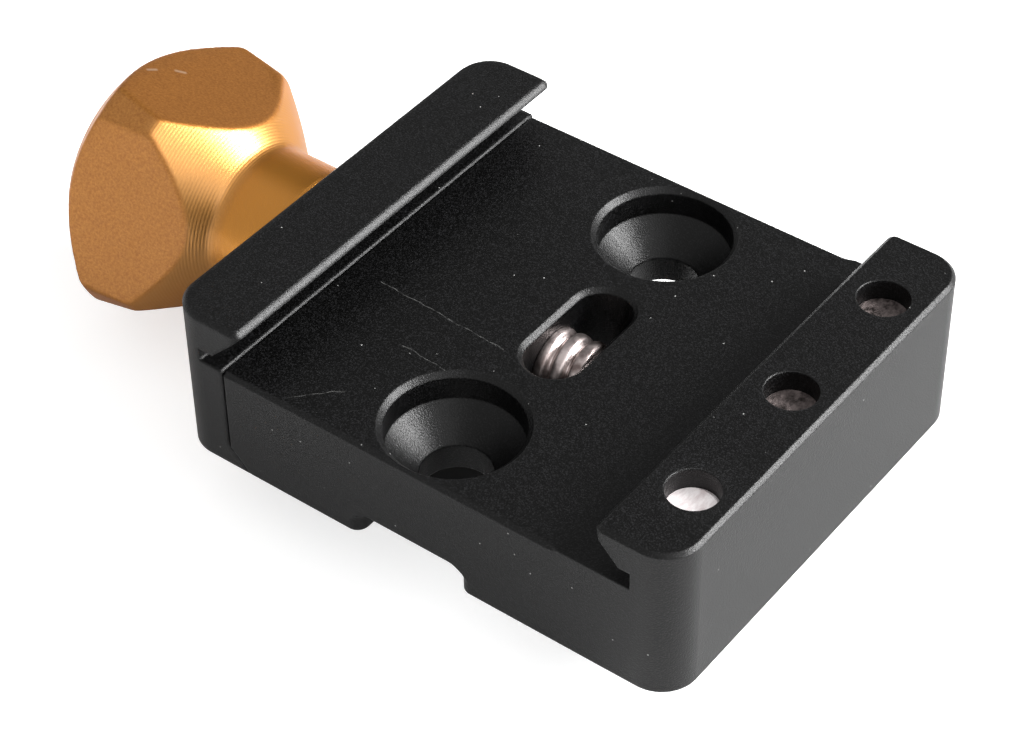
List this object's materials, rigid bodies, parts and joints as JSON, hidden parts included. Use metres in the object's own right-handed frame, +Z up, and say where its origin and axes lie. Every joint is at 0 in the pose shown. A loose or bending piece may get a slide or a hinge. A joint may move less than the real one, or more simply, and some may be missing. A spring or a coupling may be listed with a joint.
{
  "type": "quick release clamp",
  "caption": "Screw-knob clamp that grips a dovetail camera plate between a fixed and a sliding jaw, held down by countersunk screws",
  "frame": {"origin": "on the seat plane, on the key channel's centre line, midway between the two countersunk hold-down holes", "axes": "+X across the plate from the knob to the fixed jaw, +Y along the dovetail, +Z up out of the deck"},
  "size_m": [0.0657, 0.038, 0.0222],
  "materials": {
    "black_anodised": "bead-blasted, black anodised",
    "gold_anodised": "turned, gold anodised",
    "steel": "machined, bright",
    "spring_steel": "drawn wire"
  },
  "bodies": {
    "base": {"base_body": "black_anodised", "jaw_disc_front": "steel", "jaw_disc_middle": "steel", "jaw_disc_rear": "steel"},
    "jaw": {"moving_jaw": "black_anodised", "guide_pin_front": "steel", "guide_pin_rear": "steel", "return_spring": "spring_steel"},
    "knob_and_screw": {"knob": "gold_anodised", "clamp_screw": "steel", "thrust_washer": "steel"}
  },
  "joints": [
    {"name": "jaw_slide", "type": "slide", "parent": "base", "child": "jaw", "axis": [-1, 0, 0], "range_m": [0, 0.007], "deforming": ["return_spring"]},
    {"name": "knob_turn", "type": "hinge", "parent": "jaw", "child": "knob_and_screw", "pos_m": [-0.03, 0, 0.0049], "axis": [-1, 0, 0], "range_deg": [0, 1680]}
  ],
  "couplings": [
    {"joint": "knob_turn", "follows": "jaw_slide", "rad_per_m": 4188.7}
  ]
}
